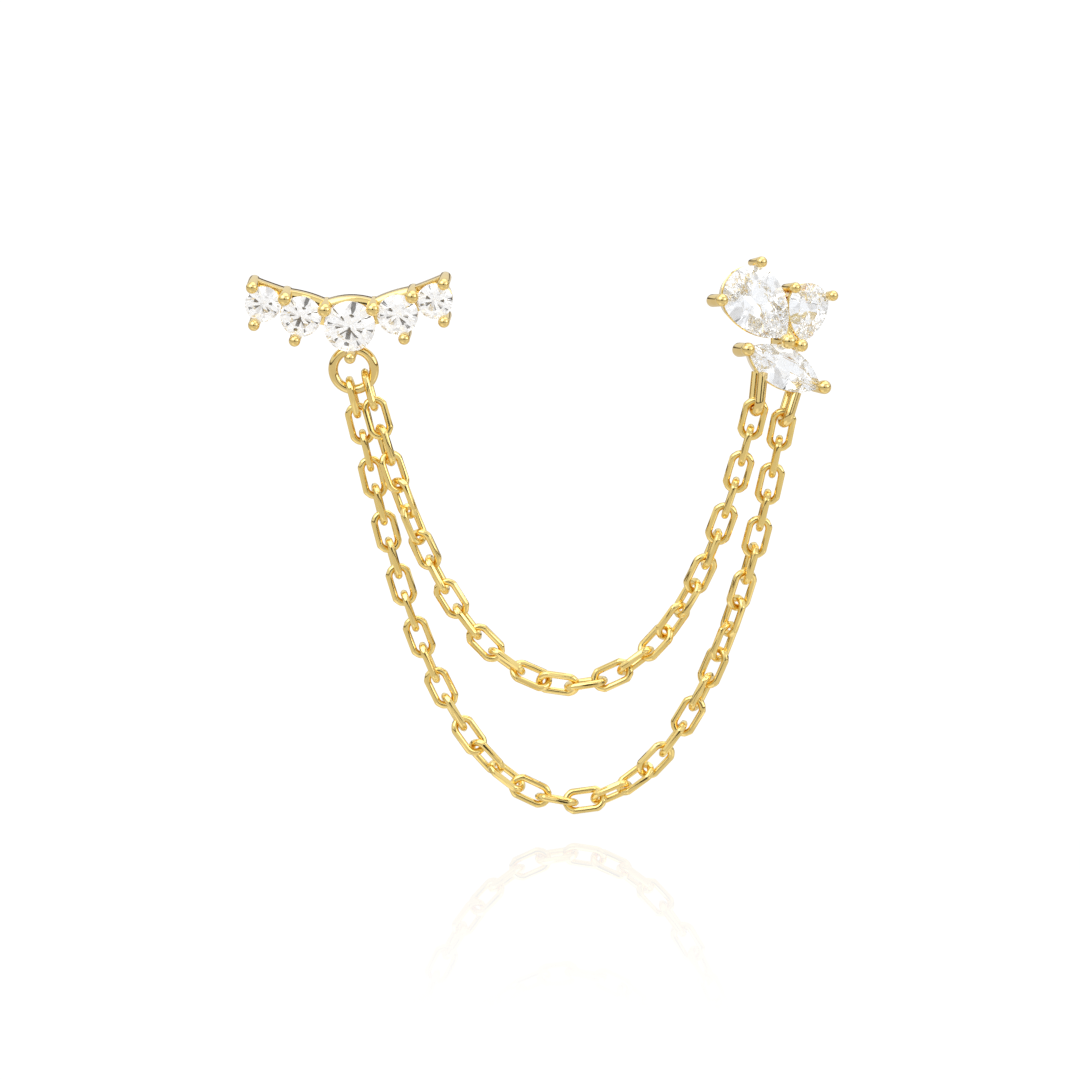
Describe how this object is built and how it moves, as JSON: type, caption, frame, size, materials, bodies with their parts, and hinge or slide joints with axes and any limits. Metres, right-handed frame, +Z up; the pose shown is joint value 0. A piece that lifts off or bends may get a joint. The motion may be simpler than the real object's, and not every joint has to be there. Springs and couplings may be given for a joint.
{
  "type": "ear chain earring",
  "caption": "Ear chain: a curved bar stud and a cluster stud, each with prong-set clear stones and an ear post, joined by draped cable chains of unequal length.",
  "frame": {"origin": "where the bar stud's ear post leaves its seat, the face that lies on the ear lobe", "axes": "+Y along the bar's ear post, away from the front; +X from the bar to the cluster; +Z up"},
  "size_m": [0.0288, 0.0102, 0.0279],
  "materials": {
    "gold": "polished pale yellow gold plating",
    "clear_stone": "colourless brilliant-cut cubic zirconia",
    "chain_gold": "diamond-cut polished gold plating"
  },
  "bodies": {
    "root": {"bar_setting": "gold", "bar_stone_1": "clear_stone", "bar_stone_2": "clear_stone", "bar_stone_3": "clear_stone", "bar_stone_4": "clear_stone", "bar_stone_5": "clear_stone", "cluster_setting": "gold", "pear_large": "clear_stone", "pear_small": "clear_stone", "marquise": "clear_stone", "chain_inner": "chain_gold", "chain_outer": "chain_gold"}
  },
  "joints": []
}
